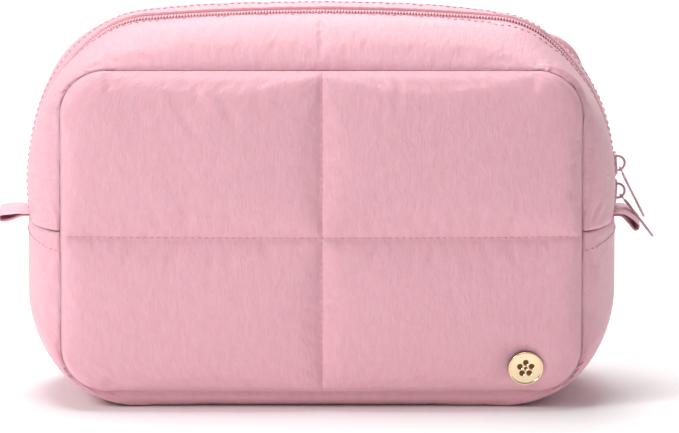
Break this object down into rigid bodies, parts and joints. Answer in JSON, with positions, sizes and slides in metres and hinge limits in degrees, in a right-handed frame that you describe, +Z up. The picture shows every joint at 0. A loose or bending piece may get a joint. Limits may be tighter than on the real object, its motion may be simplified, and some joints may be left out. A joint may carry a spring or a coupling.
{
  "type": "makeup bag",
  "caption": "Padded, quilted makeup bag with a zipped gusset over the top, side loops and a round metal medallion; the zipped top opens to both sides.",
  "frame": {"origin": "centre of the flat underside, on the surface that the bag stands on", "axes": "+X to the right seen from the front, -Y out of the front panel, +Z up"},
  "size_m": [0.2914, 0.1001, 0.1735],
  "materials": {
    "outer_fabric": "fine crinkled satin nylon, baby pink",
    "loop_fabric": "folded strap of the same nylon",
    "wadding": "polyester wadding",
    "lining": "plain woven lining",
    "zip_tape": "woven tape",
    "zip_coil": "nylon coil",
    "painted_zip_metal": "dusty pink enamel",
    "pale_gold": "polished pale gold plate"
  },
  "bodies": {
    "base": {"base_band": "outer_fabric", "base_wadding": "wadding", "base_lining": "lining", "front_panel_lower": "outer_fabric", "front_wadding_lower": "wadding", "front_lining_lower": "lining", "back_panel_lower": "outer_fabric", "back_wadding_lower": "wadding", "back_lining_lower": "lining", "front_band_ends": "outer_fabric", "rear_band_ends": "outer_fabric", "front_tape_ends": "zip_tape", "rear_tape_ends": "zip_tape", "front_coil_ends": "zip_coil", "rear_coil_ends": "zip_coil", "zip_end_stops": "painted_zip_metal", "medallion_face": "pale_gold", "medallion_rim": "pale_gold", "medallion_washer": "pale_gold"},
    "front_flap": {"front_panel_upper": "outer_fabric", "front_wadding_upper": "wadding", "front_lining_upper": "lining", "front_zip_band": "outer_fabric", "front_band_wadding": "wadding", "front_band_lining": "lining", "front_zip_tape": "zip_tape", "front_coil": "zip_coil"},
    "rear_flap": {"back_panel_upper": "outer_fabric", "back_wadding_upper": "wadding", "back_lining_upper": "lining", "rear_zip_band": "outer_fabric", "rear_band_wadding": "wadding", "rear_band_lining": "lining", "rear_zip_tape": "zip_tape", "rear_coil": "zip_coil"},
    "upper_slider": {"upper_slider": "painted_zip_metal", "upper_slider_crown": "painted_zip_metal"},
    "upper_pull": {"upper_pull": "painted_zip_metal"},
    "lower_slider": {"lower_slider": "painted_zip_metal", "lower_slider_crown": "painted_zip_metal"},
    "lower_pull": {"lower_pull": "painted_zip_metal"},
    "left_loop": {"left_loop": "loop_fabric"},
    "right_loop": {"right_loop": "loop_fabric"}
  },
  "joints": [
    {"name": "front_flap_open", "type": "hinge", "parent": "base", "child": "front_flap", "pos_m": [0, -0.04315, 0.078], "axis": [1, 0, 0], "range_deg": [0, 30]},
    {"name": "rear_flap_open", "type": "hinge", "parent": "base", "child": "rear_flap", "pos_m": [0, 0.04315, 0.078], "axis": [-1, 0, 0], "range_deg": [0, 30]},
    {"name": "upper_slider_travel", "type": "hinge", "parent": "base", "child": "upper_slider", "pos_m": [0.0475, 0, 0.0966], "axis": [0, 1, 0], "range_deg": [-40, 0]},
    {"name": "lower_slider_travel", "type": "hinge", "parent": "base", "child": "lower_slider", "pos_m": [0.0475, 0, 0.0966], "axis": [0, 1, 0], "range_deg": [-1.7, 0]},
    {"name": "upper_pull_swing", "type": "hinge", "parent": "upper_slider", "child": "upper_pull", "pos_m": [0.1319, 0, 0.10271], "axis": [0, -1, 0], "range_deg": [0, 125]},
    {"name": "lower_pull_swing", "type": "hinge", "parent": "lower_slider", "child": "lower_pull", "pos_m": [0.1319, 0, 0.09021], "axis": [0, -1, 0], "range_deg": [0, 110]},
    {"name": "left_loop_flex", "type": "hinge", "parent": "base", "child": "left_loop", "pos_m": [-0.1327, 0, 0.0816], "axis": [0, 1, 0], "range_deg": [-45, 40], "stiffness_Nm_per_rad": 0.004},
    {"name": "right_loop_flex", "type": "hinge", "parent": "base", "child": "right_loop", "pos_m": [0.1327, 0, 0.0816], "axis": [0, -1, 0], "range_deg": [-25, 0], "stiffness_Nm_per_rad": 0.004}
  ]
}
